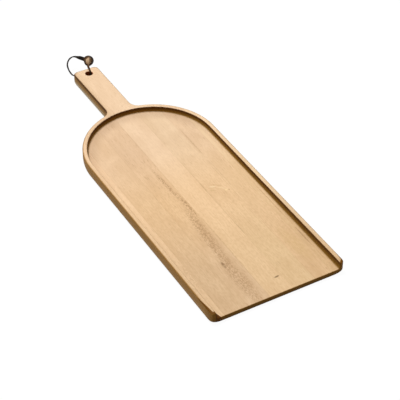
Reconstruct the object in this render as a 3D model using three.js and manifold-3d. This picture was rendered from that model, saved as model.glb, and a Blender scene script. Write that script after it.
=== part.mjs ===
// A wooden serving board of edge-glued staves, with a raised rim on three sides, a handle and a
// leather thong tied through the handle's hanging hole. Millimetres, +Z up. The board lies on the
// plane z = 0 with its handle towards +Y, and the origin is under the middle of the board.
import * as THREE from "three";
import { mergeVertices, toCreasedNormals } from "three/addons/utils/BufferGeometryUtils.js";
import Module from "manifold-3d";

const wasm = await Module();
wasm.setup();

// Outline of the board, seen from above
const BOARD_WIDTH = 201;
const BOARD_LENGTH = 560;
const ARCH_TOP = 442; // from the front edge to the top of the arch, where the handle begins
const HANDLE_WIDTH = 40;
const FRONT_CORNER_RADIUS = 6;
const NECK_FILLET_RADIUS = 15;
const HANDLE_CORNER_RADIUS = 5.5;

// How much rounder a corner's plan gets, as shares of how far the edge's round draws in there
const FRONT_CORNER_GROWTH_SHARE = 4.5;
const HANDLE_CORNER_GROWTH_SHARE = 2.4;
const HANDLE_CORNER_LIMIT_SHARE = 0.95; // of half the handle's width there

// Heights and edges
const BOARD_THICKNESS = 20;
const FLOOR_THICKNESS = 9; // of the serving floor, at the open front where it runs out
const FLOOR_RISE = 2; // of the serving floor, from the open front to the arch's top
const RIM_WIDTH = 6.8;
const UNDER_ROUND_WIDTH = 4; // of the oval round of the outer edge underneath
const UNDER_ROUND_HEIGHT = 7;
const TOP_ROUND = 2; // round of the outer edge on top
const RIM_ROUND = 1.5; // round of the rim's inner edge
const COVE_RADIUS = 4; // hollow round where the rim meets the floor
const COVE_SINK = 0.05; // of the cove's foot below the floor, where the two meet in a clean line
const FRONT_LIP_ROUND = 1.5; // round of the floor's front edge

// Glue joints between the staves, from left to right, as shares of half the board's width
const GLUE_JOINT_SHARES = [-0.81, -0.47, -0.13, 0.21, 0.55, 0.81];

// Hanging hole in the handle
const HOLE_DIAMETER = 11.2;
const HOLE_FROM_END = 13;
const HOLE_OFFSET = 1; // to the right of the handle's middle
const HOLE_MOUTH_ROUND = 1.2;

// Flat leather thong, tied into a loop through the hole
const THONG_WIDTH = 6;
const THONG_THICKNESS = 1.4;
const THONG_EDGE_BEVEL = 0.3;
const THONG_CLEARANCE = 0.45; // above and below the thong where it lies under the handle
const THONG_SIDE_CLEARANCE = 1.6;
const THONG_STEPS = 80;

// Centre line of the thong from the knot down through the hole, under the handle's end and round
// to the knot again. Each row has a place, x and y from the hole's axis and z above the table,
// and the direction of the thong's width there.
const THONG_ROUTE = [
  { at: [4.1, 12.6, 25.3], across: [0.1, -0.33, 0.93] },
  { at: [3.9, 9.4, 24.3], across: [0.05, -0.36, 0.93] },
  { at: [3.6, 5.8, 23.6], across: [0, -0.38, 0.92] },
  { at: [3.2, 2.7, 22.6], across: [0, -0.5, 0.86] },
  { at: [3.1, 0.9, 20.7], across: [0, -0.88, 0.47] },
  { at: [3.0, 0.2, 17.8], across: [0, -0.98, 0.2] },
  { at: [2.7, 0.3, 14.4], across: [0.2, -0.98, 0] },
  { at: [1.9, 0.7, 10.8], across: [0.6, -0.8, 0] },
  { at: [1.1, 1.2, 7.4], across: [0.9, -0.4, 0] },
  { at: [0.4, 1.5, 4.4], across: [1, -0.1, 0] },
  { at: [0.1, 2.3, 2.1], across: [1, 0, 0] },
  { at: [-0.1, 4.2, 1.15], across: [1, 0, 0] },
  { at: [-0.5, 8.2, 1.15], across: [1, 0.05, 0] },
  { at: [-1.5, 12.4, 1.15], across: [0.98, 0.2, 0] },
  { at: [-4.4, 16.7, 1.9], across: [0.87, 0.47, 0] },
  { at: [-9.9, 21.2, 3.8], across: [0.6, 0.75, -0.25] },
  { at: [-15.6, 24.8, 6.5], across: [0.42, 0.72, -0.52] },
  { at: [-17.4, 30.7, 9.0], across: [0.4, 0.7, -0.56] },
  { at: [-17.4, 36.9, 12.0], across: [0.4, 0.7, -0.56] },
  { at: [-16.2, 42.2, 15.5], across: [0.4, 0.7, -0.56] },
  { at: [-12.4, 46.8, 18.5], across: [0.4, 0.7, -0.58] },
  { at: [-7.7, 48.9, 21.0], across: [0.4, 0.68, -0.61] },
  { at: [-3.1, 47.7, 23.0], across: [0.43, 0.67, -0.58] },
  { at: [0.2, 43.0, 24.5], across: [0.56, 0.6, -0.25] },
  { at: [2.8, 35.9, 26.1], across: [0.52, 0.42, 0.25] },
  { at: [4.6, 28.9, 27.7], across: [0.46, 0.27, 0.55] },
  { at: [7.0, 23.1, 28.4], across: [0.46, 0.27, 0.55] },
];

// Knot, which folds the thong's two ends into a flat pentagon
const KNOT_PLACE = [8.9, 19.5, 28.3]; // from the hole's axis, and above the table
const KNOT_FACING = [-0.38, -0.66, 0.64];
const KNOT_WIDTH = 17; // across the pentagon
const KNOT_PAD_LAYERS = 3; // of leather, under the wrap
const KNOT_WRAP_LAYERS = 5; // of leather, with the wrap on both faces
const KNOT_WRAP_TURN = Math.PI / 7; // of the wrap, from the pentagon's own axis
const KNOT_GAP = 0.3; // between the knot and the thong's run

// Fineness of the rounds, in facets
const FRONT_CORNER_FACETS = 11;
const ARCH_FACETS = 40;
const NECK_FACETS = 8;
const HANDLE_CORNER_FACETS = 8;
const UNDER_FACETS = 7;
const EDGE_FACETS = 4;
const COVE_FACETS = 6;
const HOLE_FACETS = 32;
const PENTAGON_SIDES = 5;

const CUT_OVERRUN = 5; // how far a cutter reaches past what it cuts
const ON_JOINT = 0.001; // a cut vertex this near a glue joint lies on it

const HALF_WIDTH = BOARD_WIDTH / 2;
const HALF_HANDLE = HANDLE_WIDTH / 2;
const ARCH_CENTRE = ARCH_TOP - HALF_WIDTH;
const HOLE_PLACE = BOARD_LENGTH - HOLE_FROM_END;
const RELIEF_DEPTH = THONG_THICKNESS + 2 * THONG_CLEARANCE;
const RELIEF_WIDTH = THONG_WIDTH + 2 * THONG_SIDE_CLEARANCE;

// Points on an arc, with both ends.
function arc(cx, cy, radius, from, to, facets) {
  return Array.from({ length: facets + 1 }, (_, i) => {
    const angle = THREE.MathUtils.lerp(from, to, i / facets);
    return new THREE.Vector2(cx + radius * Math.cos(angle), cy + radius * Math.sin(angle));
  });
}

// The right half's points and their mirror images, as one closed outline.
function mirrored(right) {
  const left = right.map((p) => new THREE.Vector2(-p.x, p.y)).reverse();
  return [...right, ...left];
}

// The board's outline, drawn in by inset on every side, with corners that grow rounder with it.
function boardOutline(inset) {
  const neckX = HALF_HANDLE + NECK_FILLET_RADIUS;
  const neckReach = HALF_WIDTH + NECK_FILLET_RADIUS;
  const neckY = ARCH_CENTRE + Math.sqrt(neckReach ** 2 - neckX ** 2);
  const neckAngle = Math.atan2(neckY - ARCH_CENTRE, neckX);
  const frontRadius = FRONT_CORNER_RADIUS + FRONT_CORNER_GROWTH_SHARE * inset;
  const endRadius = Math.min(
    HANDLE_CORNER_RADIUS + HANDLE_CORNER_GROWTH_SHARE * inset,
    HANDLE_CORNER_LIMIT_SHARE * (HALF_HANDLE - inset),
  );
  const cornerX = HALF_WIDTH - inset - frontRadius;
  const endX = HALF_HANDLE - inset - endRadius;
  const endY = BOARD_LENGTH - inset - endRadius;
  const neck = arc(neckX, neckY, NECK_FILLET_RADIUS + inset, Math.PI + neckAngle, Math.PI, NECK_FACETS);
  return mirrored([
    ...arc(cornerX, inset + frontRadius, frontRadius, -Math.PI / 2, 0, FRONT_CORNER_FACETS),
    ...arc(0, ARCH_CENTRE, HALF_WIDTH - inset, 0, neckAngle, ARCH_FACETS),
    ...neck.slice(1),
    ...arc(endX, endY, endRadius, 0, Math.PI / 2, HANDLE_CORNER_FACETS),
  ]);
}

// The recess's outline, drawn in by inset. It runs out past the board's open front.
function recessOutline(inset) {
  const radius = HALF_WIDTH - RIM_WIDTH - inset;
  return [
    new THREE.Vector2(-radius, -CUT_OVERRUN),
    new THREE.Vector2(radius, -CUT_OVERRUN),
    ...arc(0, ARCH_CENTRE, radius, 0, Math.PI, 2 * ARCH_FACETS),
  ];
}

// How far the serving floor has risen at a distance from the open front.
function floorRise(y) {
  return (FLOOR_RISE * y) / ARCH_TOP;
}

// Rings of an oval quarter round, as heights and insets: from the face at z, up or down, to the side.
function quarterOval(z, width, height, facets, up) {
  return Array.from({ length: facets + 1 }, (_, i) => {
    const angle = (i / facets) * (Math.PI / 2);
    return { z: z + up * height * (1 - Math.cos(angle)), inset: width * (1 - Math.sin(angle)) };
  });
}

function quarterRound(z, radius, facets, up) {
  return quarterOval(z, radius, radius, facets, up);
}

// Rings that lean with the serving floor.
function leaning(rings) {
  return rings.map((ring) => ({ ...ring, leans: true }));
}

// A closed solid through rings of the same outline, from the lowest up.
function stack(outline, rings) {
  const loops = rings.map((ring) => outline(ring.inset));
  const count = loops[0].length;
  const height = (ring, y) => (ring.leans ? ring.z + floorRise(y) : ring.z);
  const positions = loops.flatMap((loop, r) => loop.flatMap((p) => [p.x, p.y, height(rings[r], p.y)]));
  const index = [];
  for (let r = 0; r + 1 < rings.length; r++) {
    for (let i = 0; i < count; i++) {
      const a = r * count + i;
      const b = r * count + ((i + 1) % count);
      index.push(a, b, b + count, a, b + count, a + count);
    }
  }
  const top = (rings.length - 1) * count;
  for (const [a, b, c] of THREE.ShapeUtils.triangulateShape(loops[0], [])) index.push(c, b, a);
  for (const [a, b, c] of THREE.ShapeUtils.triangulateShape(loops.at(-1), [])) {
    index.push(top + a, top + b, top + c);
  }
  const geometry = new THREE.BufferGeometry();
  geometry.setAttribute("position", new THREE.Float32BufferAttribute(positions, 3));
  geometry.setIndex(index);
  return geometry;
}

// A closed geometry as a solid that can be cut and joined.
function solidOf(geometry) {
  const bare = geometry.clone();
  bare.deleteAttribute("normal");
  bare.deleteAttribute("uv");
  const merged = mergeVertices(bare);
  return new wasm.Manifold(
    new wasm.Mesh({
      numProp: 3,
      vertProperties: merged.attributes.position.array,
      triVerts: new Uint32Array(merged.index.array),
    }),
  );
}

// A solid's faces as a geometry, with the vertices that a cut left beside a plane x put on it.
function geometryOf(solid, planes = []) {
  const mesh = solid.getMesh();
  const positions = Float32Array.from(mesh.vertProperties);
  for (let i = 0; i < positions.length; i += 3) {
    const plane = planes.find((x) => Math.abs(positions[i] - x) < ON_JOINT);
    if (plane !== undefined) positions[i] = plane;
  }
  const geometry = new THREE.BufferGeometry();
  geometry.setAttribute("position", new THREE.BufferAttribute(positions, 3));
  geometry.setIndex(new THREE.BufferAttribute(Uint32Array.from(mesh.triVerts), 1));
  return toCreasedNormals(geometry, Math.PI / 6);
}

// The outer edge's rings below, which the whole panel and its floor share.
const UNDER_RINGS = quarterOval(0, UNDER_ROUND_WIDTH, UNDER_ROUND_HEIGHT, UNDER_FACETS, 1);

// The panel at its full height, with its outer edges rounded and nothing cut out of it.
function fullPanel() {
  const top = quarterRound(BOARD_THICKNESS, TOP_ROUND, EDGE_FACETS, -1).reverse();
  return solidOf(stack(boardOutline, [...UNDER_RINGS, ...top]));
}

// The panel up to its serving floor, with a rounded lip.
function floorPanel() {
  const lip = quarterRound(FLOOR_THICKNESS, FRONT_LIP_ROUND, EDGE_FACETS, -1).reverse();
  return solidOf(stack(boardOutline, [...UNDER_RINGS, ...leaning(lip)]));
}

// The recess as a cutter that goes down into the floor, with the cove at its foot and a flared mouth.
function recessCutter() {
  const cove = quarterRound(FLOOR_THICKNESS - COVE_SINK, COVE_RADIUS, COVE_FACETS, 1);
  const mouth = quarterRound(BOARD_THICKNESS, RIM_ROUND, EDGE_FACETS, -1).reverse();
  return solidOf(
    stack(recessOutline, [
      { z: FLOOR_THICKNESS / 2, inset: COVE_RADIUS },
      ...leaning(cove),
      ...mouth.map(({ z, inset }) => ({ z, inset: -inset })),
      { z: BOARD_THICKNESS + CUT_OVERRUN, inset: -RIM_ROUND },
    ]),
  );
}

// The hanging hole as a turned cutter, with a round at each mouth.
function holeCutter() {
  const radius = HOLE_DIAMETER / 2;
  const widest = radius + HOLE_MOUTH_ROUND;
  const point = ({ z, inset }) => new THREE.Vector2(radius + inset, z);
  const profile = [
    new THREE.Vector2(0, -CUT_OVERRUN),
    new THREE.Vector2(widest, -CUT_OVERRUN),
    ...quarterRound(0, HOLE_MOUTH_ROUND, EDGE_FACETS, 1).map(point),
    ...quarterRound(BOARD_THICKNESS, HOLE_MOUTH_ROUND, EDGE_FACETS, -1).reverse().map(point),
    new THREE.Vector2(widest, BOARD_THICKNESS + CUT_OVERRUN),
    new THREE.Vector2(0, BOARD_THICKNESS + CUT_OVERRUN),
  ];
  const cutter = new THREE.LatheGeometry(profile, HOLE_FACETS);
  cutter.rotateX(Math.PI / 2);
  cutter.translate(HOLE_OFFSET, HOLE_PLACE, 0);
  return solidOf(cutter);
}

// The relief under the handle's end, in which the thong lies so that the board rests flat.
function reliefCutter() {
  const corner = RELIEF_DEPTH / 2;
  const half = RELIEF_WIDTH / 2;
  const section = new THREE.Shape();
  section.moveTo(-half, -CUT_OVERRUN);
  section.lineTo(half, -CUT_OVERRUN);
  section.lineTo(half, RELIEF_DEPTH - corner);
  section.absarc(half - corner, RELIEF_DEPTH - corner, corner, 0, Math.PI / 2);
  section.absarc(corner - half, RELIEF_DEPTH - corner, corner, Math.PI / 2, Math.PI);
  const depth = HOLE_FROM_END + CUT_OVERRUN;
  const cutter = new THREE.ExtrudeGeometry(section, { depth, bevelEnabled: false, curveSegments: EDGE_FACETS });
  cutter.rotateX(Math.PI / 2);
  cutter.translate(HOLE_OFFSET, HOLE_PLACE + depth, 0);
  return solidOf(cutter);
}

// The finished panel, before it is told apart into staves.
function boardSolid() {
  const rim = fullPanel().subtract(recessCutter());
  return rim.add(floorPanel()).subtract(holeCutter()).subtract(reliefCutter());
}

// Full-length staves from left to right, each with its own tone of the same wood.
const STAVES = [
  { name: "left_edge_stave", tone: "#e6c69c" },
  { name: "left_outer_stave", tone: "#e2c096" },
  { name: "left_inner_stave", tone: "#dcb98f" },
  { name: "handle_stave", tone: "#efd0a6" },
  { name: "right_inner_stave", tone: "#e6c59b" },
  { name: "right_outer_stave", tone: "#e3c299" },
  { name: "right_edge_stave", tone: "#e8c9a0" },
];

function makeStaves() {
  const panel = boardSolid();
  const joints = GLUE_JOINT_SHARES.map((share) => Math.fround(share * HALF_WIDTH));
  const sides = [-HALF_WIDTH - CUT_OVERRUN, ...joints, HALF_WIDTH + CUT_OVERRUN];
  const reach = BOARD_LENGTH + 2 * CUT_OVERRUN;
  return STAVES.map(({ name, tone }, i) => {
    const slab = new THREE.BoxGeometry(sides[i + 1] - sides[i], reach, reach);
    slab.translate((sides[i] + sides[i + 1]) / 2, BOARD_LENGTH / 2, 0);
    const wood = new THREE.MeshStandardMaterial({ color: tone, roughness: 0.55, metalness: 0 });
    const stave = new THREE.Mesh(geometryOf(panel.intersect(solidOf(slab)), joints), wood);
    stave.name = name;
    return stave;
  });
}

// The thong's centre line, which also says how the flat leather turns along it.
class ThongLine extends THREE.CatmullRomCurve3 {
  constructor(route) {
    super(route.map(({ at }) => new THREE.Vector3(...at)));
    this.across = new THREE.CatmullRomCurve3(route.map(({ across }) => new THREE.Vector3(...across)));
  }

  computeFrenetFrames(segments) {
    const frames = { tangents: [], normals: [], binormals: [] };
    for (let i = 0; i <= segments; i++) {
      const t = this.getUtoTmapping(i / segments);
      const tangent = this.getTangent(t);
      const normal = this.across.getPoint(t).projectOnPlane(tangent).normalize();
      frames.tangents.push(tangent);
      frames.normals.push(normal);
      frames.binormals.push(new THREE.Vector3().crossVectors(tangent, normal));
    }
    return frames;
  }
}

// The thong's flat section with its four edges bevelled.
function thongSection() {
  const x = THONG_WIDTH / 2;
  const y = THONG_THICKNESS / 2;
  const b = THONG_EDGE_BEVEL;
  const corners = [
    [x, b - y], [x, y - b], [x - b, y], [b - x, y],
    [-x, y - b], [-x, b - y], [b - x, -y], [x - b, -y],
  ];
  return new THREE.Shape(corners.map(([px, py]) => new THREE.Vector2(px, py)));
}

// The pentagon pad of the knot with the wrap across both of its faces, grown all round by grow.
function knotSolid(grow) {
  const radius = KNOT_WIDTH / (2 * Math.sin((2 * Math.PI) / PENTAGON_SIDES)) + grow;
  const layers = (count) => count * THONG_THICKNESS + 2 * grow;
  const pad = new THREE.CylinderGeometry(radius, radius, layers(KNOT_PAD_LAYERS), PENTAGON_SIDES);
  const wrap = new THREE.CylinderGeometry(radius, radius, layers(KNOT_WRAP_LAYERS), PENTAGON_SIDES);
  const band = new THREE.BoxGeometry(THONG_WIDTH + 2 * grow, layers(KNOT_WRAP_LAYERS), 2 * radius);
  band.rotateY(KNOT_WRAP_TURN);
  return solidOf(pad).add(solidOf(wrap).intersect(solidOf(band)));
}

// Turns a knot that lies flat in the x-z plane to face the way it hangs, and puts it in its place.
function placedKnot(grow) {
  const turn = new THREE.Quaternion().setFromUnitVectors(
    new THREE.Vector3(0, 1, 0),
    new THREE.Vector3(...KNOT_FACING).normalize(),
  );
  const geometry = geometryOf(knotSolid(grow));
  geometry.applyQuaternion(turn);
  geometry.translate(...KNOT_PLACE);
  return geometry;
}

function makeThong() {
  const leather = new THREE.MeshStandardMaterial({ color: "#2b1d15", roughness: 0.6, metalness: 0 });
  const run = new THREE.ExtrudeGeometry(thongSection(), {
    steps: THONG_STEPS,
    extrudePath: new ThongLine(THONG_ROUTE),
  });
  const strap = new THREE.Mesh(geometryOf(solidOf(run).subtract(solidOf(placedKnot(KNOT_GAP)))), leather);
  strap.name = "leather_thong";
  const knot = new THREE.Mesh(placedKnot(0), leather);
  knot.name = "thong_knot";
  const thong = new THREE.Group();
  thong.add(strap, knot);
  thong.position.set(HOLE_OFFSET, HOLE_PLACE, 0);
  return thong;
}

const board = new THREE.Group();
board.add(...makeStaves(), makeThong());
board.position.y = -BOARD_LENGTH / 2;

const model = new THREE.Group();
model.add(board);

export default model;
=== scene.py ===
# A serving board of oiled staves with a leather thong, laid on a pale floor in soft studio light.
# Lengths are in metres, +Z is up and +Y runs from the board's open front edge to its handle.
import math

import bmesh
import bpy
import numpy as np
from mathutils import Matrix, Vector


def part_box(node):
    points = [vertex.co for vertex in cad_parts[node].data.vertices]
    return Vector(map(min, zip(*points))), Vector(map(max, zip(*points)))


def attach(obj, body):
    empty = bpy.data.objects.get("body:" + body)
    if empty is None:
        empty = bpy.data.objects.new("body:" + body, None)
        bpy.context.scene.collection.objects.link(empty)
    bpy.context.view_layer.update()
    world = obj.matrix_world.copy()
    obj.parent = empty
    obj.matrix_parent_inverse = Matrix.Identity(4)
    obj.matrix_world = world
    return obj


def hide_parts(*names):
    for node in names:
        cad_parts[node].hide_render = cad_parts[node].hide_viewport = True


MM = 0.001
PHOTO_PX = 400

# Camera, as azimuth and elevation of where it stands, in degrees, and the point that it looks at
CAMERA_AZIMUTH = -29.84
CAMERA_ELEVATION = 39.97
CAMERA_DISTANCE = 2.08167
CAMERA_AIM = Vector((0.00798, -0.06061, 0.0035))
FOCAL_LENGTH_PX = 1501.71
SENSOR_WIDTH_MM = 36

# Leather thong, in millimetres. Each point of its route has a place, x and y from the hole's axis
# and z above the table, and the way that the strip lies across there.
THONG_WIDTH = 6
THONG_THICKNESS = 1.4
THONG_EDGE_ROUND = 0.4
THONG_EDGE_STEPS = 3
THONG_STEPS = 6  # between two points of its route
HOLE_AXIS = (1.0, 267.0, 0.0)
THONG_ROUTE = [
    ((4.1, 12.6, 25.3), (-0.04, -0.31, 0.93)),
    ((3.9, 9.4, 24.3), (-0.05, -0.32, 0.94)),
    ((3.6, 5.8, 23.6), (-0.06, -0.33, 0.93)),
    ((3.2, 2.7, 22.6), (-0.12, -0.49, 0.85)),
    ((3.1, 0.9, 20.7), (-0.12, -0.88, 0.46)),
    ((3.0, 0.2, 17.8), (-0.1, -0.98, 0.18)),
    ((2.7, 0.3, 14.4), (0.05, -1.0, 0)),
    ((1.9, 0.7, 10.8), (0.6, -0.8, 0)),
    ((1.1, 1.2, 7.4), (0.9, -0.4, 0)),
    ((0.4, 1.5, 4.4), (1, -0.1, 0)),
    ((0.1, 2.3, 2.1), (1, 0, 0)),
    ((-0.1, 4.2, 1.15), (1, 0, 0)),
    ((-0.5, 8.2, 1.15), (1, 0.05, 0)),
    ((-1.5, 12.4, 1.15), (0.98, 0.2, 0)),
    ((-4.4, 16.7, 1.9), (0.87, 0.47, 0)),
    ((-9.9, 21.2, 3.8), (0.6, 0.75, -0.25)),
    ((-15.6, 24.8, 6.5), (0.31, 0.65, -0.69)),
    ((-17.4, 30.7, 9.0), (0.24, 0.43, -0.87)),
    ((-17.4, 36.9, 12.0), (0.14, 0.48, -0.87)),
    ((-16.2, 42.2, 15.5), (0.0, 0.55, -0.84)),
    ((-12.4, 46.8, 18.5), (-0.08, 0.68, -0.73)),
    ((-7.7, 48.9, 21.0), (0.14, 0.86, -0.48)),
    ((-3.1, 47.7, 23.0), (0.55, 0.7, -0.42)),
    ((0.2, 43.0, 24.5), (0.56, 0.6, -0.25)),
    ((2.8, 35.9, 26.1), (0.52, 0.42, 0.25)),
    ((4.6, 28.9, 27.7), (0.46, 0.27, 0.55)),
    ((7.0, 23.1, 28.4), (0.46, 0.27, 0.55)),
]

# The knot's passes, in millimetres: right, up and out of the face that it shows. The wrap winds
# from the loop over the top, down the right, and round again inside, and the leaf lies within it.
KNOT_PLACE = (8.9, 19.5, 28.3)  # from the hole's axis, and above the table
KNOT_FACING = (-0.38, -0.66, 0.64)
KNOT_WRAP = [
    ((-6.6, 3.3, -1.2), (-0.25, 0.15, -1.0)),
    ((-3.7, 5.9, -0.6), (-0.15, 0.25, -1.0)),
    ((0.4, 6.9, -0.3), (0.0, 0.3, -1.0)),
    ((4.7, 5.2, -0.2), (0.2, 0.22, -1.0)),
    ((6.9, 1.2, -0.2), (0.3, 0.05, -1.0)),
    ((5.8, -3.2, -0.3), (0.25, -0.15, -1.0)),
    ((1.8, -6.3, -0.3), (0.08, -0.28, -1.0)),
    ((-2.4, -6.1, 0.2), (-0.1, -0.2, -1.0)),
    ((-5.2, -3.2, 0.8), (-0.1, 0.0, -1.0)),
    ((-5.8, 0.4, 1.1), (0.05, 0.0, -1.0)),
    ((-4.2, 3.6, 1.2), (0.1, -0.1, -1.0)),
    ((-0.8, 5.0, 1.2), (0.0, -0.2, -1.0)),
    ((2.4, 3.4, 1.2), (-0.15, -0.15, -1.0)),
    ((3.9, 0.2, 1.0), (-0.2, 0.0, -1.0)),
    ((2.9, -3.2, 0.6), (-0.15, 0.1, -1.0)),
    ((0.3, -5.2, -0.6), (0.0, 0.2, -1.0)),
]
KNOT_LEAF = [
    ((-0.4, -7.6, -1.6), (0.35, 0.1, 1.0)),
    ((-0.5, -5.4, 1.6), (0.7, 0.1, 0.7)),
    ((-0.6, -2.2, 3.4), (1.0, 0.1, 0.1)),
    ((-0.5, 1.2, 3.4), (1.0, 0.1, 0.1)),
    ((-0.4, 4.4, 1.6), (0.7, 0.1, 0.7)),
    ((-0.3, 5.4, -1.2), (0.35, 0.1, 1.0)),
]
KNOT_CORE = [
    ((-5.8, -2.3, -2.2), (0.3, -1.0, 0.0)),
    ((-1.2, -0.4, -2.2), (0.3, -1.0, 0.1)),
    ((2.2, 0.8, -2.4), (0.3, -1.0, 0.0)),
    ((5.4, 1.6, -3.2), (0.3, -1.0, -0.2)),
]

# Leather. Tones are red, green and blue out of 255: the darkest and lightest of the grain side, its
# edges, and a painted highlight. The painted highlight begins and is complete at two lengths from the
# strip's start, and then has the strength given.
THONG_LEATHER = {
    "grain": ((18, 13, 10), (42, 32, 22)),
    "edge": (12, 10, 9),
    "painted_highlight": ((0.02, 0.006), 0.8, (92, 62, 30)),
}
KNOT_LEATHER = {
    "grain": ((32, 18, 5), (58, 36, 15)),
    "edge": (66, 46, 22),
    "painted_highlight": ((0.0465, 0.0495), 0.5, (140, 108, 70)),
}
FLESH_TONES = (184, 150, 114), (214, 182, 146)
FLESH_SIDE = (-0.7, -0.97)  # from the middle, against half the thickness
BURNISHED_EDGE = (0.42, 0.49)  # from the middle, against the width
# Patterns of the leather: spots to the metre, detail and how far they are warped
CREASES = (900, 3.0, 0.4)
FUZZ = (2600, 2.0, 0.0)
PATCHES = (160, 2.0, 0.0)
FUZZ_SHOWS = (0.3, 0.7)
PATCHES_SHOW = (0.35, 0.65)
LEATHER_ROUGHNESS = (0.55, 0.9)  # of the grain side and the flesh side
LEATHER_GLOSS = 0.15
LEATHER_RELIEF = {"Strength": 0.5, "Distance": 0.0003}

# Tones of the wood: its outer sides and inner walls, darker than the top as painted shade; its ends,
# where oil has soaked into the end grain; painted shade on the rim's front ends, at the foot of the
# left rim's front end and under the rounded edges; painted light from the table low on the sides; the
# wall of the hole; the streak that runs along it; the glue joints; and each stave's flat face near the
# open front, halfway and near the handle
WOOD_SIDE = (171, 126, 66)
WOOD_INNER_SIDE = (138, 101, 40)
WOOD_END = (122, 82, 22)
PAINTED_SHADE_RIM_END = (116, 74, 18)
PAINTED_SHADE_RIM_FOOT = (88, 50, 4)
PAINTED_SHADE_UNDER_EDGE = (74, 38, 4)
PAINTED_TABLE_LIGHT = (206, 190, 160)
WOOD_IN_HOLE = (176, 92, 36)
WOOD_STREAK = (158, 118, 78)
GLUE_LINE = (190, 152, 108)
STAVES = {
    "left_edge_stave": {
        "tones": ((234, 200, 159), (246, 210, 168), (242, 206, 167)),
        "seed": 3.1,
        "figure": 0.3,
        "pores": 0.2,
    },
    "left_outer_stave": {
        "tones": ((222, 188, 148), (234, 197, 153), (236, 201, 163)),
        "seed": 11.7,
        "figure": 0.4,
        "pores": 0.2,
    },
    "left_inner_stave": {
        "tones": ((227, 193, 154), (234, 196, 151), (233, 198, 161)),
        "seed": 23.9,
        "figure": 0.5,
        "pores": 0.3,
    },
    "handle_stave": {
        "tones": ((233, 198, 154), (243, 206, 162), (241, 208, 172)),
        "seed": 37.3,
        "figure": 0.25,
        "pores": 0.12,
    },
    "right_inner_stave": {
        "tones": ((231, 197, 152), (238, 201, 157), (238, 206, 169)),
        "seed": 48.2,
        "figure": 0.4,
        "pores": 0.2,
    },
    "right_outer_stave": {
        "tones": ((228, 191, 147), (240, 204, 160), (236, 202, 165)),
        "seed": 59.6,
        "figure": 0.4,
        "pores": 0.25,
    },
    "right_edge_stave": {
        "tones": ((224, 188, 143), (239, 204, 159), (242, 209, 170)),
        "seed": 71.4,
        "figure": 0.3,
        "pores": 0.2,
    },
}
TONE_PLACES = (-0.22, -0.06, 0.08)  # along the board

# How much darker or paler than the wood round it
DEEPER = (0.86, 0.82, 0.76)
PALER = (1.04, 1.05, 1.06)
# painted highlight and painted shade on the rim's inner edge, painted shade in the floor's corner and
# low on the ends
PAINTED_EDGE_HIGHLIGHT = (1.1, 1.1, 1.12)
SHADED_EDGE = (0.88, 0.87, 0.84)
CORNER_SHADE = (0.78, 0.76, 0.76)
LOW_END_SHADE = (0.68, 0.68, 0.68)

# Grain: its spots to the metre across, along and up, its detail and how far it is warped
GRAIN = {
    "Figure": ((95, 3.5, 95), 3.0, 0.5),
    "Fibres": ((620, 14, 620), 3.0, 0.2),
    "Pores": ((1300, 75, 1300), 1.0, 0.0),
    "Cloud": ((38, 22, 38), 2.0, 0.3),
    "Flecks": ((520, 170, 520), 2.0, 0.0),
}
SEED_STEP = (0.37, 0.91, 0.53)  # how far the patterns move when a stave's seed grows by one
# How the grain shows: between which values of its pattern, and how strong it is then
PORES_SHOW = (0.62, 0.72)
FIGURE_SHOWS = (0.3, 0.7)
CLOUD_SHOWS = (0.4, 0.66)
FIBRES_SHOW = (0.35, 0.7, 0.0, 0.34)
FLECKS_SHOW = (0.4, 0.65, 0.0, 0.48)
SIDE_FIBRES_SHOW = (0.3, 0.7, 0.0, 0.25)
FINER_GRAIN = (-0.12, 0.12, 1.0, 0.5)  # between these places along the board it grows fainter
WOOD_ROUGHNESS = (0.2, 0.8, 0.5, 0.66)
WOOD_GLOSS = 0.07
WOOD_RELIEF = {"Strength": 0.25, "Distance": 0.0002}
FIBRE_RELIEF = 0.4  # against the depth of the pores

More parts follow.
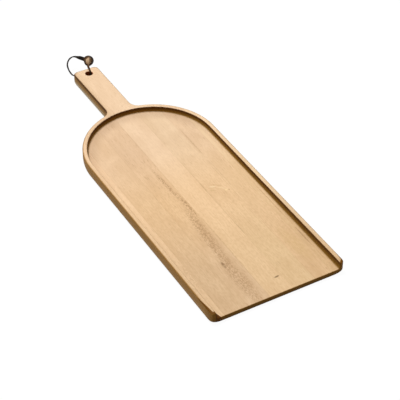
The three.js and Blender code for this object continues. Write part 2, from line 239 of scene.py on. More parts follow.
# Marks in the wood, in millimetres from the middle of the board: where they are, half their width
# and length, how far they are turned, in degrees, their tone, how strong and how broken they are,
# and what breaks them, in spots to the metre each way
FIBRES = (560, 26, 560)
FLECKS = (680, 330, 680)
MARKS = {
    "left_edge_stave": [
        # a darker patch at the front corner, flecks on the floor, and the rim's darker outer edge
        ((-93.5, -277), (3.2, 4.5), 0, (124, 76, 26), 0.8, 0.0, FIBRES),
        ((-84, -195), (4, 45), 0, WOOD_STREAK, 0.25, 0.8, FLECKS),
        ((-98, -90), (5.5, 260), 0, (218, 180, 138), 0.4, 0.3, FLECKS),
    ],
    "left_inner_stave": [
        # the handle's left part and its darker edge
        ((-16, 215), (12, 100), 0, (239, 206, 169), 0.85, 0.0, FIBRES),
        ((-21.5, 215), (8.5, 100), 0, (219, 185, 147), 0.85, 0.0, FIBRES),
        # the seam beside the handle stave
        ((-13.8, 85), (1.4, 62), 0, WOOD_STREAK, 0.15, 0.5, FLECKS),
        # the long dark streak, which widens towards the front
        ((-20.5, -20), (3.8, 66), 2, WOOD_STREAK, 0.55, 0.85, FLECKS),
        ((-16, -68), (3.4, 38), 0, WOOD_STREAK, 0.62, 0.85, FLECKS),
        ((-25.5, -140), (10.5, 95), -3, WOOD_STREAK, 0.54, 0.85, FLECKS),
        ((-29.5, -235), (14, 70), 0, WOOD_STREAK, 0.46, 0.85, FLECKS),
        ((-35, -197), (3, 9), 0, (122, 88, 54), 0.65, 0.5, FLECKS),
        ((-23, -195), (13, 95), 0, (204, 166, 124), 0.2, 0.3, FLECKS),
    ],
    "handle_stave": [
        # a short flaw near the front, darker round the hole's mouth, and flecks along the seam
        ((14.1, -250.5), (5.5, 1.8), 8, (104, 78, 46), 0.8, 0.1, FIBRES),
        ((1, 267), (6.6, 6.6), 0, (70, 22, 6), 1.0, 0.0, FIBRES),
        ((-12.8, -160), (1.4, 90), 0, WOOD_STREAK, 0.3, 0.7, FLECKS),
    ],
    "right_inner_stave": [
        # the seam beside the handle stave
        ((21.7, -75), (1.7, 105), 0, WOOD_STREAK, 0.14, 0.5, FLECKS),
        ((21.7, -45), (1.8, 16), 0, WOOD_STREAK, 0.22, 0.3, FLECKS),
        ((21.7, -145), (1.2, 18), 0, WOOD_STREAK, 0.28, 0.3, FLECKS),
        # a small curved figure: its shadows, its pale bow and its eye
        ((39.7, -50.2), (1.0, 13), 50, (198, 156, 108), 0.45, 0.2, FLECKS),
        ((29.7, -58.3), (1.8, 6), 60, (200, 166, 112), 0.4, 0.2, FLECKS),
        ((33.2, -50.9), (1.7, 6.5), 66, (255, 230, 186), 0.6, 0.1, FIBRES),
        ((43.0, -59.0), (1.5, 8.5), 42, (252, 224, 176), 0.45, 0.2, FIBRES),
        ((47.0, -66.0), (2.4, 2.6), 0, (255, 226, 168), 0.5, 0.0, FIBRES),
        ((50.8, -67.3), (1.7, 1.8), 0, (186, 142, 92), 0.6, 0.0, FIBRES),
    ],
    "right_outer_stave": [
        # the seam, and darker flecks
        ((58.2, 50), (2.0, 52), 0, WOOD_STREAK, 0.32, 0.5, FLECKS),
        ((58.6, -30), (1.2, 40), 0, WOOD_STREAK, 0.2, 0.5, FLECKS),
        ((69.5, -80), (2.6, 11), 0, (204, 166, 120), 0.4, 0.8, FLECKS),
        ((70, -210), (14, 50), 4, (214, 178, 124), 0.5, 0.6, FLECKS),
    ],
    "right_edge_stave": [
        # paler floor in the arch, the rim's pale outer edge, and flecks below the rim
        ((84, 70), (4, 110), 0, (246, 214, 172), 0.6, 0.3, FIBRES),
        ((98, -90), (5.5, 260), 0, (240, 216, 186), 0.35, 0.2, FLECKS),
        ((87.7, -200), (1.8, 28), 0, (128, 90, 54), 0.4, 0.5, FLECKS),
        ((87.7, -120), (1.2, 60), 0, WOOD_STREAK, 0.3, 0.6, FLECKS),
    ],
}
MARK_FADES = (1.0, 0.35)  # from its outline to its middle, against its size
MARK_BREAKS = (0.42, 0.6)  # between these values of the pattern that breaks it
MARK_DETAIL = 3.0
GLUE_LINE_SHOWS = (0.0005, 0.0001, 0.0, 0.2)  # within these distances of the joint

# Places on the board, in metres, where a change begins and where it is complete
ARCH_CENTRE = (0, 0.0615, 0)
ARCH_START = (0.045, 0.1)
HANDLE_NECK = (0.152, 0.17)
FRONT_LIP = (-0.2782, -0.2792)
FRONT_CORNERS = (-0.26, -0.272)
UNDER_EDGE_HEIGHTS = (0.0135, 0.0175)
NEAR_TABLE_HEIGHTS = (0.0135, 0.004)
HOLE_RIM = (0.0068, 0.0062)
FLOOR_TOP = 0.015  # the whole floor is lower
RIM_TOP = 0.0185  # the rim's top and its rounded edges are higher
LEVEL = (1, 1, 0)  # keeps what lies level of a place

# How a face leans: the upward part of its normal where the top gives way to the side, and the part
# along the board where the fibres end in it. On the rim, the inner edge darkens only when it leans
# more, and the outer edge already when it leans less.
TOP_TO_SIDE = (0.99, 0.6)
END_GRAIN = (0.35, 0.85)
TURNED_AWAY = 0.02  # of the normal along the way to the arch's centre, times that way's length
INNER_EDGE_LATER = 0.17
OUTER_EDGE_EARLIER = 0.12

# From the front: how far back painted shade stands for the rim's rounder outer edge, and how wide that
# is there
RIM_END_SLOW = (0.0, 0.04, 0.0043, 0.0)
RIM_END_FAST = (0.0, 0.009, 0.0085, 0.0)
RIM_END_SOFT = 0.0005
RIM_END_RIGHT = 0.6  # how much of the slow part the right rim has
# Painted shade at the foot of the left rim's front end: where it begins from the middle, how much
# further back with each step outwards, and how far back at most
RIM_FOOT_START = 0.0862
RIM_FOOT_LEAN = 3.4
RIM_FOOT_DEPTH = 0.012
RIM_FOOT_SOFT = 0.001
RIM_INNER_EDGE = 0.0945
RIM_HIGHLIGHT = 0.0012  # half its width
# painted shade on the floor in its corner below the rim
FLOOR_CORNER = (0.0855, 0.09)  # from the middle, where the floor darkens towards the rim
ARCH_CORNER = 0.0155  # how much earlier it begins in the arch
CORNER_SHARE = 0.3  # how strong it is along the straight rims, against the arch

# How strongly each painted highlight, painted shade and painted table light on the board shows, and
# the end grain's tone at the front corners
RIM_EDGE_STRENGTH = 0.75
CORNER_STRENGTH = 0.7
FRONT_CORNER_STRENGTH = 0.55
UNDER_INNER_EDGE_STRENGTH = 0.8
UNDER_HANDLE_EDGE_STRENGTH = 0.85
LOW_HANDLE_STRENGTH = 0.85
LOW_SIDE_STRENGTH = 0.2

# Shading of the staves' rounds
WELD = 1e-5
SHARP_ANGLE = math.radians(32)

# Light
FLOOR_REACH = 6
FLOOR_GLOW = 0.96
FLOOR_SHADE = 0.06
FLOOR_BOUNCE = 0.8
SKY_BRIGHTNESS = 0.2
KEY_POWER = 76
KEY_SIZE = 1.3
KEY_PLACE = Vector((-0.25, 0.55, 2.85))


def add_object(name, data):
    thing = bpy.data.objects.new(name, data)
    bpy.context.scene.collection.objects.link(thing)
    return thing


def colour(red, green, blue):
    """The light that a screen gives for red, green and blue out of 255."""
    lit = []
    for value in (red / 255, green / 255, blue / 255):
        lit.append(value / 12.92 if value <= 0.04045 else ((value + 0.055) / 1.055) ** 2.4)
    return (*lit, 1)


def make_camera():
    azimuth = math.radians(CAMERA_AZIMUTH)
    elevation = math.radians(CAMERA_ELEVATION)
    level = math.cos(elevation)
    back = Vector((math.sin(azimuth) * level, -math.cos(azimuth) * level, math.sin(elevation)))
    right = Vector((math.cos(azimuth), math.sin(azimuth), 0))
    lens = bpy.data.cameras.new("photo_camera")
    lens.sensor_width = SENSOR_WIDTH_MM
    lens.lens = SENSOR_WIDTH_MM * FOCAL_LENGTH_PX / PHOTO_PX
    camera = add_object("photo_camera", lens)
    place = Matrix((right, back.cross(right), back)).transposed().to_4x4()
    place.translation = CAMERA_AIM + back * CAMERA_DISTANCE
    camera.matrix_world = place
    bpy.context.scene.camera = camera


def smooth_line(rows, steps):
    """Rows of numbers on a Catmull-Rom curve through the given rows."""
    rows = np.array(rows, float)
    padded = np.vstack([2 * rows[0] - rows[1], rows, 2 * rows[-1] - rows[-2]])
    line = []
    for before, start, end, after in zip(padded, padded[1:], padded[2:], padded[3:]):
        for t in np.arange(steps) / steps:
            straight = 2 * start + (end - before) * t
            bend = (2 * before - 5 * start + 4 * end - after) * t**2
            twist = (3 * start - before - 3 * end + after) * t**3
            line.append((straight + bend + twist) / 2)
    return np.array([*line, rows[-1]])


def node_group(name, kind, inputs, outputs):
    """An empty node tree with named sockets, each given as name, kind and default value."""
    tree = bpy.data.node_groups.new(name, kind)
    for label, socket, value in inputs:
        made = tree.interface.new_socket(label, in_out="INPUT", socket_type=socket)
        if value is not None:
            made.default_value = value
    for label, socket in outputs:
        tree.interface.new_socket(label, in_out="OUTPUT", socket_type=socket)
    return tree


class Wiring:
    """Adds nodes to a tree and wires them: an input is given a value, or a socket to link from."""

    def __init__(self, tree):
        self.tree = tree

    def add(self, kind, settings=None, **inputs):
        node = self.tree.nodes.new(kind)
        for key, value in (settings or {}).items():
            setattr(node, key, value)
        for key, value in inputs.items():
            self.feed(node.inputs[key.replace("_", " ")], value)
        return node

    def feed(self, socket, value):
        if isinstance(value, bpy.types.NodeSocket):
            self.tree.links.new(value, socket)
        else:
            socket.default_value = value

    def math(self, operation, *values):
        node = self.add("ShaderNodeMath", {"operation": operation})
        for socket, value in zip(node.inputs, values):
            self.feed(socket, value)
        return node.outputs[0]

    def vector(self, operation, *values):
        node = self.add("ShaderNodeVectorMath", {"operation": operation})
        for socket, value in zip(node.inputs, values):
            self.feed(socket, value)
        return node.outputs[1 if operation in ("LENGTH", "DOT_PRODUCT") else 0]

    def product(self, first, *others):
        for other in others:
            first = self.math("MULTIPLY", first, other)
        return first

    def ramp(self, value, low, high, start=0.0, end=1.0, course="SMOOTHSTEP"):
        """A value that goes from start, where the input is low, to end, smoothly or straight."""
        node = self.add("ShaderNodeMapRange", {"interpolation_type": course})
        for socket, given in zip(node.inputs, (value, low, high, start, end)):
            self.feed(socket, given)
        return node.outputs[0]

    def blend(self, factor, start, end):
        node = self.add("ShaderNodeMix", {"data_type": "RGBA"})
        for index, given in ((0, factor), (6, start), (7, end)):
            self.feed(node.inputs[index], given)
        return node.outputs[2]

    def noise(self, place, spots, detail, distortion=0.0):
        """A cloudy pattern with so many spots to the metre each way."""
        if isinstance(spots, int):
            spots = (spots, spots, spots)
        scaled = self.vector("MULTIPLY", place, spots)
        node = self.add("ShaderNodeTexNoise", Vector=scaled, Scale=1.0, Detail=detail)
        self.feed(node.inputs["Distortion"], distortion)
        return node.outputs[0]

    def group(self, tree, **inputs):
        kind = "GeometryNodeGroup" if tree.type == "GEOMETRY" else "ShaderNodeGroup"
        return self.add(kind, {"node_tree": tree}, **inputs).outputs


def ribbon_tree():
    """Sweeps a flat leather section with rounded edges along a wire that says which way it faces."""
    tree = node_group(
        "leather_ribbon",
        "GeometryNodeTree",
        [
            ("Geometry", "NodeSocketGeometry", None),
            ("Width", "NodeSocketFloat", THONG_WIDTH * MM),
            ("Thickness", "NodeSocketFloat", THONG_THICKNESS * MM),
            ("Edge Round", "NodeSocketFloat", THONG_EDGE_ROUND * MM),
            ("Leather", "NodeSocketMaterial", None),
        ],
        [("Geometry", "NodeSocketGeometry")],
    )
    w = Wiring(tree)
    given = w.add("NodeGroupInput").outputs
    line = w.add("GeometryNodeMeshToCurve", Mesh=given["Geometry"])
    facing = w.add("GeometryNodeInputNamedAttribute", {"data_type": "FLOAT_VECTOR"}, Name="facing")
    turned = w.add(
        "GeometryNodeSetCurveNormal",
        {"mode": "FREE"},
        Curve=line.outputs[0],
        Normal=facing.outputs[0],
    )
    length = w.add("GeometryNodeSplineParameter").outputs["Length"]
    marked = w.add(
        "GeometryNodeStoreNamedAttribute",
        {"data_type": "FLOAT", "domain": "POINT"},
        Geometry=turned.outputs[0],
        Name="along",
        Value=length,
    )
    section = w.add(
        "GeometryNodeCurvePrimitiveQuadrilateral", Width=given["Thickness"], Height=given["Width"]
    )
    rounded = w.add(
        "GeometryNodeFilletCurve",
        {"mode": "POLY"},
        Curve=section.outputs[0],
        Count=THONG_EDGE_STEPS,
        Radius=given["Edge Round"],
    )
    place = w.add("GeometryNodeInputPosition")
    split = w.add("ShaderNodeSeparateXYZ", Vector=place.outputs[0])
    sided = w.add(
        "GeometryNodeStoreNamedAttribute",
        {"data_type": "FLOAT", "domain": "POINT"},
        Geometry=rounded.outputs[0],
        Name="side",
        Value=split.outputs["X"],
    )
    edged = w.add(
        "GeometryNodeStoreNamedAttribute",
        {"data_type": "FLOAT", "domain": "POINT"},
        Geometry=sided.outputs[0],
        Name="across",
        Value=split.outputs["Y"],
    )
    swept = w.add("GeometryNodeCurveToMesh", Curve=marked.outputs[0], Profile_Curve=edged.outputs[0])
    w.feed(swept.inputs["Fill Caps"], True)
    smooth = w.add("GeometryNodeSetShadeSmooth", Geometry=swept.outputs[0])
    real = w.add("GeometryNodeRealizeInstances", Geometry=smooth.outputs[0])
    dyed = w.add("GeometryNodeSetMaterial", Geometry=real.outputs[0], Material=given["Leather"])
    w.add("NodeGroupOutput", Geometry=dyed.outputs[0])
    return tree


def leather_material(name, finish):
    """Dyed grain on one side of a strip, bare tan flesh on the other, and burnished edges."""
    leather = bpy.data.materials.new(name)
    leather.use_nodes = True
    w = Wiring(leather.node_tree)
    shader = leather.node_tree.nodes["Principled BSDF"]
    place = w.add("ShaderNodeTexCoord").outputs["Object"]
    side, across, along = (
        w.add("ShaderNodeAttribute", {"attribute_name": attribute}).outputs["Fac"]
        for attribute in ("side", "across", "along")
    )
    flesh = w.ramp(side, *(share * THONG_THICKNESS * MM / 2 for share in FLESH_SIDE))
    from_middle = w.math("ABSOLUTE", across)
    edge = w.ramp(from_middle, *(share * THONG_WIDTH * MM for share in BURNISHED_EDGE))
    patches = w.ramp(w.noise(place, *PATCHES), *PATCHES_SHOW)
    grain = w.blend(patches, *(colour(*tone) for tone in finish["grain"]))
    fuzz = w.ramp(w.noise(place, *FUZZ), *FUZZ_SHOWS)
    tan = w.blend(fuzz, *(colour(*tone) for tone in FLESH_TONES))
    burnished = w.blend(edge, grain, colour(*finish["edge"]))
    # a painted highlight along part of the strip
    reach, highlight_strength, tone = finish["painted_highlight"]
    painted_highlight = w.blend(w.ramp(along, *reach, 0.0, highlight_strength), burnished, colour(*tone))
    w.feed(shader.inputs["Base Color"], w.blend(flesh, painted_highlight, tan))
    w.feed(shader.inputs["Roughness"], w.ramp(flesh, 0.0, 1.0, *LEATHER_ROUGHNESS))
    shader.inputs["Specular IOR Level"].default_value = LEATHER_GLOSS
    bump = w.add("ShaderNodeBump", Height=w.noise(place, *CREASES), **LEATHER_RELIEF)
    w.feed(shader.inputs["Normal"], bump.outputs[0])
    return leather


def ribbon(name, points, across, tree, leather):
    """A leather ribbon along points; across tells how the strip lies at each of them."""
    along = np.gradient(points, axis=0)
    along /= np.linalg.norm(along, axis=1)[:, None]
    facing = np.cross(along, across)
    wire = bpy.data.meshes.new(name)
    wire.from_pydata([tuple(p) for p in points], [(i, i + 1) for i in range(len(points) - 1)], [])
    attribute = wire.attributes.new("facing", "FLOAT_VECTOR", "POINT")
    attribute.data.foreach_set("vector", np.asarray(facing, np.float32).ravel())
    piece = add_object(name, wire)
    modifier = piece.modifiers.new("sweep", "NODES")
    modifier.node_group = tree
    values = {
        "Width": THONG_WIDTH * MM,
        "Thickness": THONG_THICKNESS * MM,
        "Edge Round": THONG_EDGE_ROUND * MM,
        "Leather": leather,
    }
    for item in tree.interface.items_tree:
        if item.name in values:
            modifier[item.identifier] = values[item.name]
    evaluated = piece.evaluated_get(bpy.context.evaluated_depsgraph_get())
    piece.data = bpy.data.meshes.new_from_object(evaluated)
    piece.modifiers.remove(modifier)
    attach(piece, "root")
    return piece


def make_knot(tree, leather):
    """The knot that closes the loop: a wrap of two turns round a leaf that shows its flesh side."""
    out = np.array(KNOT_FACING) / np.linalg.norm(KNOT_FACING)
    right = np.cross((0, 0, 1), out)
    right /= np.linalg.norm(right)
    axes = np.array([right, np.cross(out, right), out])
    centre = np.array(KNOT_PLACE) + (HOLE_AXIS[0], HOLE_AXIS[1], 0)
    passes = []
    for name, rows in (("wrap", KNOT_WRAP), ("leaf", KNOT_LEAF), ("core", KNOT_CORE)):
        line = smooth_line([(*place, *across) for place, across in rows], THONG_STEPS)
        points = (line[:, :3] @ axes + centre) * MM
        passes.append(ribbon("knot_" + name, points, line[:, 3:] @ axes, tree, leather))
    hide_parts("thong_knot")
    return passes


def make_thong(tree, leather):
    rows = [(*place, *across) for place, across in THONG_ROUTE]
    line = smooth_line(rows, THONG_STEPS)
    points = (line[:, :3] + HOLE_AXIS) * MM
    thong = ribbon("thong", points, line[:, 3:], tree, leather)
    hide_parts("leather_thong")


def grain_group():
    """Lengthwise figure, fibres and pores of the wood, each stave with its own part of the pattern."""
    tree = node_group(
        "wood_grain",
        "ShaderNodeTree",
        [("Seed", "NodeSocketFloat", 0.0)],
        [(name, "NodeSocketFloat") for name in GRAIN],
    )
    w = Wiring(tree)
    seed = w.add("NodeGroupInput").outputs["Seed"]
    shift = w.vector("SCALE", SEED_STEP)
    w.feed(shift.node.inputs["Scale"], seed)
    place = w.vector("ADD", w.add("ShaderNodeTexCoord").outputs["Object"], shift)
    out = w.add("NodeGroupOutput")
    for name, (spots, detail, distortion) in GRAIN.items():
        pattern = w.noise(place, spots, detail, distortion)
        w.feed(out.inputs[name], w.ramp(pattern, *PORES_SHOW) if name == "Pores" else pattern)
    return tree


def rim_end_mask(w, left, from_front, from_outside):
    """Where painted shade stands for the rim's rounded edge, which spreads over it towards its front
    ends, more on the left.
    """
    share = w.ramp(left, 0.0, 1.0, RIM_END_RIGHT, 1.0, course="LINEAR")
    slow = w.product(w.ramp(from_front, *RIM_END_SLOW, course="LINEAR"), share)
    fast = w.ramp(from_front, *RIM_END_FAST, course="LINEAR")
    width = w.math("MAXIMUM", slow, fast)
    return w.ramp(w.math("SUBTRACT", width, from_outside), -RIM_END_SOFT, RIM_END_SOFT)


def rim_foot_mask(w, left, from_front, from_middle, reach):
    """Where painted shade lies at the foot of the left rim's front end, where the floor runs up to it.
    """
    outwards = w.math("SUBTRACT", from_middle, RIM_FOOT_START)
    behind = w.math("SUBTRACT", w.product(outwards, RIM_FOOT_LEAN), from_front)
    begun = w.ramp(behind, -RIM_FOOT_SOFT, RIM_FOOT_SOFT)
    near = w.math("LESS_THAN", from_front, RIM_FOOT_DEPTH)
    within = w.ramp(reach, RIM_INNER_EDGE + MM, RIM_INNER_EDGE)
    return w.product(begun, near, left, within)


def faces_group():
    """Masks that tell where on the board a point is, and which way its face looks there."""
    names = ("Steep", "End", "Inward", "Under Edge", "Low", "Handle", "Corner", "Rim Edge")
    names += ("Hole", "Rim End", "Rim Foot", "Left")
    outputs = [(name, "NodeSocketFloat") for name in names]
    tree = node_group("wood_faces", "ShaderNodeTree", [], outputs)
    w = Wiring(tree)
    normal = w.add("ShaderNodeNewGeometry").outputs["Normal"]
    facing = w.add("ShaderNodeSeparateXYZ", Vector=normal).outputs
    place = w.add("ShaderNodeTexCoord").outputs["Object"]
    across, along, height = w.add("ShaderNodeSeparateXYZ", Vector=place).outputs
    left = w.math("LESS_THAN", across, 0.0)
    from_middle = w.math("ABSOLUTE", across)
    from_front = w.math("SUBTRACT", along, BOARD_FRONT)
    from_outside = w.math("SUBTRACT", BOARD_HALF_WIDTH, from_middle)
    # from the middle line, or from the middle of the arch beyond it
    beyond = w.math("MAXIMUM", w.math("SUBTRACT", along, ARCH_CENTRE[1]), 0.0)
    reach = w.vector("LENGTH", w.add("ShaderNodeCombineXYZ", X=across, Y=beyond).outputs[0])
    hole = w.vector("SUBTRACT", place, (HOLE_AXIS[0] * MM, HOLE_AXIS[1] * MM, 0))
    from_hole = w.vector("LENGTH", w.vector("MULTIPLY", hole, LEVEL))

    spoke = w.vector("MULTIPLY", w.vector("SUBTRACT", place, ARCH_CENTRE), LEVEL)
    outward = w.vector("DOT_PRODUCT", normal, spoke)
    inward = w.ramp(outward, 0.0, -TURNED_AWAY)
    on_rim = w.math("GREATER_THAN", height, RIM_TOP)
    later = w.product(inward, INNER_EDGE_LATER)
    earlier = w.product(w.ramp(outward, 0.0, TURNED_AWAY), OUTER_EDGE_EARLIER)
    change = w.product(w.math("SUBTRACT", later, earlier), on_rim)
    upright = w.math("ABSOLUTE", facing["Z"])
    steep = w.ramp(w.math("ADD", upright, change), *TOP_TO_SIDE)
    lip = w.ramp(along, *FRONT_LIP)
    end = w.ramp(w.math("ABSOLUTE", facing["Y"]), *END_GRAIN)

    in_front = w.math("LESS_THAN", along, 0.0)
    rim_end = w.product(rim_end_mask(w, left, from_front, from_outside), on_rim, in_front)
    below_rim = w.math("LESS_THAN", height, RIM_TOP)
    rim_foot = w.product(rim_foot_mask(w, left, from_front, from_middle, reach), below_rim)
    arched = w.ramp(along, *ARCH_START)
    corner_start = w.math("SUBTRACT", FLOOR_CORNER[0], w.product(arched, ARCH_CORNER))
    corner = w.ramp(reach, corner_start, FLOOR_CORNER[1])
    from_edge = w.math("ABSOLUTE", w.math("SUBTRACT", reach, RIM_INNER_EDGE))

    masks = {
        "Steep": w.math("MAXIMUM", w.math("MAXIMUM", steep, lip), rim_end),
        "End": w.math("MAXIMUM", end, lip),
        "Inward": inward,
        "Under Edge": w.ramp(height, *UNDER_EDGE_HEIGHTS),
        "Low": w.ramp(height, *NEAR_TABLE_HEIGHTS),
        "Handle": w.ramp(along, *HANDLE_NECK),
        "Corner": w.product(corner, w.ramp(along, *ARCH_START, CORNER_SHARE, 1.0)),
        "Rim Edge": w.ramp(from_edge, RIM_HIGHLIGHT, 0.0),
        "Hole": w.ramp(from_hole, *HOLE_RIM),
        "Rim End": rim_end,
        "Rim Foot": rim_foot,
        "Left": left,
    }
    out = w.add("NodeGroupOutput")
    for name in names:
        w.feed(out.inputs[name], masks[name])
    return tree


def mark_group():
    """A long soft-edged mark in the wood, broken up along the fibres."""
    tree = node_group(
        "wood_mark",
        "ShaderNodeTree",
        [
            ("Color", "NodeSocketColor", (1, 1, 1, 1)),
            ("Mark", "NodeSocketColor", (0, 0, 0, 1)),
            ("Centre", "NodeSocketVector", None),
            ("Size", "NodeSocketVector", None),
            ("Turn", "NodeSocketVector", None),
            ("Strength", "NodeSocketFloat", 1.0),
            ("Breaks", "NodeSocketFloat", 0.0),
            ("Grain", "NodeSocketVector", None),
        ],
        [("Color", "NodeSocketColor")],
    )
    w = Wiring(tree)
    given = w.add("NodeGroupInput").outputs
    place = w.add("ShaderNodeTexCoord").outputs["Object"]
    local = w.add("ShaderNodeMapping", {"vector_type": "TEXTURE"}, Vector=place)
    w.feed(local.inputs["Location"], given["Centre"])
    w.feed(local.inputs["Rotation"], given["Turn"])
    w.feed(local.inputs["Scale"], given["Size"])
    distance = w.vector("LENGTH", w.vector("MULTIPLY", local.outputs[0], LEVEL))
    within = w.ramp(distance, *MARK_FADES)
    whole = w.ramp(w.noise(place, given["Grain"], MARK_DETAIL), *MARK_BREAKS)
    lost = w.product(given["Breaks"], w.math("SUBTRACT", 1.0, whole))
    factor = w.product(within, w.math("SUBTRACT", 1.0, lost), given["Strength"])
    w.add("NodeGroupOutput", Color=w.blend(factor, given["Color"], given["Mark"]))
    return tree


def grained_wood(w, values, grain, along):
    """A stave's own tone along the board, with its figure, clouds, fibres, flecks and pores."""
    front, middle, back = (colour(*tone) for tone in values["tones"])
    flat = w.blend(w.ramp(along, *TONE_PLACES[:2]), front, middle)
    flat = w.blend(w.ramp(along, *TONE_PLACES[1:]), flat, back)
    deeper = w.vector("MULTIPLY", flat, DEEPER)
    paler = w.vector("MULTIPLY", flat, PALER)
    figured = w.blend(w.ramp(grain["Figure"], *FIGURE_SHOWS, 0.0, values["figure"]), flat, deeper)
    clouded = w.blend(w.ramp(grain["Cloud"], *CLOUD_SHOWS), figured, paler)
    strength = w.ramp(along, *FINER_GRAIN)
    fibres = w.product(w.ramp(grain["Fibres"], *FIBRES_SHOW), strength)
    fibred = w.blend(fibres, clouded, deeper)
    flecks = w.product(w.ramp(grain["Flecks"], *FLECKS_SHOW), strength)
    flecked = w.blend(flecks, fibred, deeper)
    return w.blend(w.product(grain["Pores"], values["pores"]), flecked, colour(*WOOD_STREAK))


def marked_wood(w, name, wood, across, joints, mark_tree):
    """The marks of a stave, and a fine line at each of its glue joints."""
    for centre, size, turn, tone, strength, breaks, spots in MARKS.get(name, ()):
        wood = w.group(
            mark_tree,
            Color=wood,
            Mark=colour(*tone),
            Centre=(centre[0] * MM, centre[1] * MM, 0),
            Size=(size[0] * MM, size[1] * MM, 1),
            Turn=(0, 0, math.radians(turn)),
            Strength=strength,
            Breaks=breaks,
            Grain=spots,
        )["Color"]
    for joint in joints:
        gap = w.math("ABSOLUTE", w.math("SUBTRACT", across, joint))
        wood = w.blend(w.ramp(gap, *GLUE_LINE_SHOWS), wood, colour(*GLUE_LINE))
    return wood


def shaded_top(w, wood, face, height):
    """A painted highlight on the rim's inner edge on the right, painted shade there on the left, and
    painted shade in the floor's corner below the rim.
    """
    # a painted highlight on the right rim's inner edge, painted shade on the left one
    pale = w.vector("MULTIPLY", wood, PAINTED_EDGE_HIGHLIGHT)
    edge = w.blend(face["Left"], pale, w.vector("MULTIPLY", wood, SHADED_EDGE))
    edged = w.blend(w.product(face["Rim Edge"], RIM_EDGE_STRENGTH), wood, edge)
    on_floor = w.math("LESS_THAN", height, FLOOR_TOP)
    # painted shade in the floor's corner below the rim
    shade = w.product(face["Corner"], on_floor, CORNER_STRENGTH)
    return w.blend(shade, edged, w.vector("MULTIPLY", edged, CORNER_SHADE))


def sides_with_painted_shade(w, grain, face, along):
    """Sides darker than the top as painted shade, darker still where they cut across the fibres and
    the end grain has taken up the oil; painted shade under the edges of the handle and the rim, and
    painted light from the table low down."""
    # painted shade: the sides take a darker tone than the top, the inner walls darker still
    side_tone = w.blend(face["Inward"], colour(*WOOD_SIDE), colour(*WOOD_INNER_SIDE))
    outside = w.math("SUBTRACT", 1.0, face["Inward"])
    corners = w.product(w.ramp(along, *FRONT_CORNERS, 0.0, FRONT_CORNER_STRENGTH), outside)
    ends = w.math("MAXIMUM", face["End"], corners)
    side_tone = w.blend(ends, side_tone, colour(*WOOD_END))
    # painted shade under the rounded edges of the rim and the handle
    inner = w.product(face["Inward"], UNDER_INNER_EDGE_STRENGTH)
    handle = w.product(face["Handle"], UNDER_HANDLE_EDGE_STRENGTH)
    under = w.product(face["Under Edge"], w.math("MAXIMUM", inner, handle))
    side_tone = w.blend(under, side_tone, colour(*PAINTED_SHADE_UNDER_EDGE))
    # painted shade low on the ends, where the table before them lies in shadow
    darker = w.vector("MULTIPLY", side_tone, LOW_END_SHADE)
    side_tone = w.blend(w.product(face["Low"], face["End"]), side_tone, darker)
    # painted light from the pale table, low on the handle and the outer sides
    handle = w.product(face["Handle"], LOW_HANDLE_STRENGTH)
    side = w.product(w.math("SUBTRACT", outside, ends), LOW_SIDE_STRENGTH)
    pale = w.product(face["Low"], w.math("MAXIMUM", handle, side))
    side_tone = w.blend(pale, side_tone, colour(*PAINTED_TABLE_LIGHT))
    side_tone = w.blend(w.ramp(grain["Fibres"], *SIDE_FIBRES_SHOW), side_tone, colour(*WOOD_END))
    side_tone = w.blend(face["Hole"], side_tone, colour(*WOOD_IN_HOLE))
    # painted shade on the rim's front ends
    return w.blend(face["Rim End"], side_tone, colour(*PAINTED_SHADE_RIM_END))


def stave_material(name, values, joints, groups):
    """Oiled wood of one stave, with its own grain and its marks, its sides darker as painted shade,
    and a painted highlight and painted shade on its top.
    """
    grain_tree, faces_tree, mark_tree = groups
    wood = bpy.data.materials.new("wood_" + name)
    wood.use_nodes = True
    w = Wiring(wood.node_tree)
    shader = wood.node_tree.nodes["Principled BSDF"]
    grain = w.group(grain_tree, Seed=values["seed"])
    face = w.group(faces_tree)
    place = w.add("ShaderNodeTexCoord").outputs["Object"]
    across, along, height = w.add("ShaderNodeSeparateXYZ", Vector=place).outputs
    flat = grained_wood(w, values, grain, along)
    marked = marked_wood(w, name, flat, across, joints, mark_tree)
    top = shaded_top(w, marked, face, height)
    whole = w.blend(face["Steep"], top, sides_with_painted_shade(w, grain, face, along))
    # painted shade at the foot of the left rim's front end
    w.feed(shader.inputs["Base Color"], w.blend(face["Rim Foot"], whole, colour(*PAINTED_SHADE_RIM_FOOT)))
    w.feed(shader.inputs["Roughness"], w.ramp(grain["Fibres"], *WOOD_ROUGHNESS))
    relief = w.math("SUBTRACT", w.product(grain["Fibres"], FIBRE_RELIEF), grain["Pores"])
    bump = w.add("ShaderNodeBump", Height=relief, **WOOD_RELIEF)
    w.feed(shader.inputs["Normal"], bump.outputs[0])
    shader.inputs["Specular IOR Level"].default_value = WOOD_GLOSS
    return wood


def smooth_rounds(mesh):
    """Shades rounded edges smoothly and leaves flat faces flat: at each corner of a face, those faces
    count that lean away from it by less than the sharp angle, by their size."""
    mesh.shade_smooth()
    facing = np.array([face.normal for face in mesh.polygons])
    size = np.array([face.area for face in mesh.polygons])
    meeting = {}
    for face in mesh.polygons:
        for vertex in face.vertices:
            meeting.setdefault(vertex, []).append(face.index)
    normals = []
    for face in mesh.polygons:
        for vertex in face.vertices:
            near = np.array(meeting[vertex])
            near = near[facing[near] @ facing[face.index] > math.cos(SHARP_ANGLE)]
            total = size[near] @ facing[near]
            length = np.linalg.norm(total)
            normals.append(total / length if length > 0 else facing[face.index])
    mesh.normals_split_custom_set(normals)


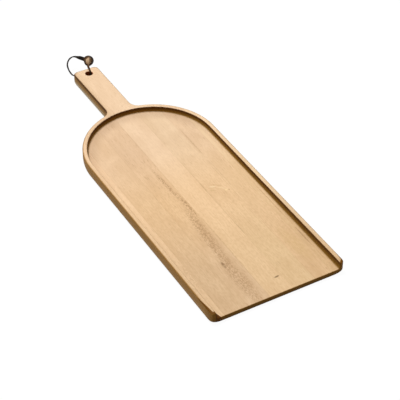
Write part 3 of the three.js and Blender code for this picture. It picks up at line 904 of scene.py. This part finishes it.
def make_staves():
    """Smooth copies of the staves, each in wood of its own."""
    groups = (grain_group(), faces_group(), mark_group())
    for name, values in STAVES.items():
        low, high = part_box(name)
        joints = [x for x in (low[0], high[0]) if abs(x) < BOARD_HALF_WIDTH - MM]
        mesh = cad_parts[name].data.copy()
        form = bmesh.new()
        form.from_mesh(mesh)
        bmesh.ops.remove_doubles(form, verts=form.verts, dist=WELD)
        form.to_mesh(mesh)
        form.free()
        mesh.materials.clear()
        mesh.materials.append(stave_material(name, values, joints, groups))
        smooth_rounds(mesh)
        stave = add_object(name + "_wood", mesh)
        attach(stave, "root")
        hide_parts(name)


def make_floor():
    """A pale floor that shows nearly white, with the faintest shadow, and bounces light as paper."""
    sheet = bpy.data.meshes.new("floor")
    r = FLOOR_REACH
    sheet.from_pydata([(-r, -r, 0), (r, -r, 0), (r, r, 0), (-r, r, 0)], [], [(0, 1, 2, 3)])
    pale = bpy.data.materials.new("pale_floor")
    pale.use_nodes = True
    tree = pale.node_tree
    tree.nodes.remove(tree.nodes["Principled BSDF"])
    w = Wiring(tree)
    glow = w.add("ShaderNodeEmission", Strength=FLOOR_GLOW)
    shade = w.add("ShaderNodeBsdfDiffuse", Color=(FLOOR_SHADE, FLOOR_SHADE, FLOOR_SHADE, 1))
    seen = w.add("ShaderNodeAddShader")
    w.feed(seen.inputs[0], glow.outputs[0])
    w.feed(seen.inputs[1], shade.outputs[0])
    paper = w.add("ShaderNodeBsdfDiffuse", Color=(FLOOR_BOUNCE, FLOOR_BOUNCE, FLOOR_BOUNCE, 1))
    choice = w.add("ShaderNodeMixShader")
    w.feed(choice.inputs[0], w.add("ShaderNodeLightPath").outputs["Is Camera Ray"])
    w.feed(choice.inputs[1], paper.outputs[0])
    w.feed(choice.inputs[2], seen.outputs[0])
    w.feed(tree.nodes["Material Output"].inputs["Surface"], choice.outputs[0])
    sheet.materials.append(pale)
    add_object("floor", sheet)


def make_light():
    sky = bpy.data.worlds.new("sky")
    sky.use_nodes = True
    sky.node_tree.nodes["Background"].inputs["Strength"].default_value = SKY_BRIGHTNESS
    sky.node_tree.nodes["Background"].inputs["Color"].default_value = (1, 1, 1, 1)
    bpy.context.scene.world = sky
    lamp = bpy.data.lights.new("key_light", "AREA")
    lamp.energy = KEY_POWER
    lamp.size = KEY_SIZE
    key = add_object("key_light", lamp)
    key.location = KEY_PLACE
    key.rotation_euler = (-KEY_PLACE).to_track_quat("-Z", "Y").to_euler()
    bpy.context.scene.view_settings.view_transform = "Standard"


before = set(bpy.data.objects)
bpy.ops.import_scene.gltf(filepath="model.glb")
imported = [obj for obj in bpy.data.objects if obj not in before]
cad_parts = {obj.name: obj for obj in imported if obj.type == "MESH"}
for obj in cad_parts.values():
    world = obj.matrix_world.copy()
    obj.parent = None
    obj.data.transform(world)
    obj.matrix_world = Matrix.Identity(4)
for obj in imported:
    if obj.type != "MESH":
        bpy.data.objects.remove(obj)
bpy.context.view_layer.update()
BOARD_HALF_WIDTH = max(-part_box("left_edge_stave")[0][0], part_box("right_edge_stave")[1][0])
BOARD_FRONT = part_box("handle_stave")[0][1]
make_camera()
tree = ribbon_tree()
knot = make_knot(tree, leather_material("knot_leather", KNOT_LEATHER))
make_thong(tree, leather_material("thong_leather", THONG_LEATHER))
make_staves()
make_floor()
make_light()
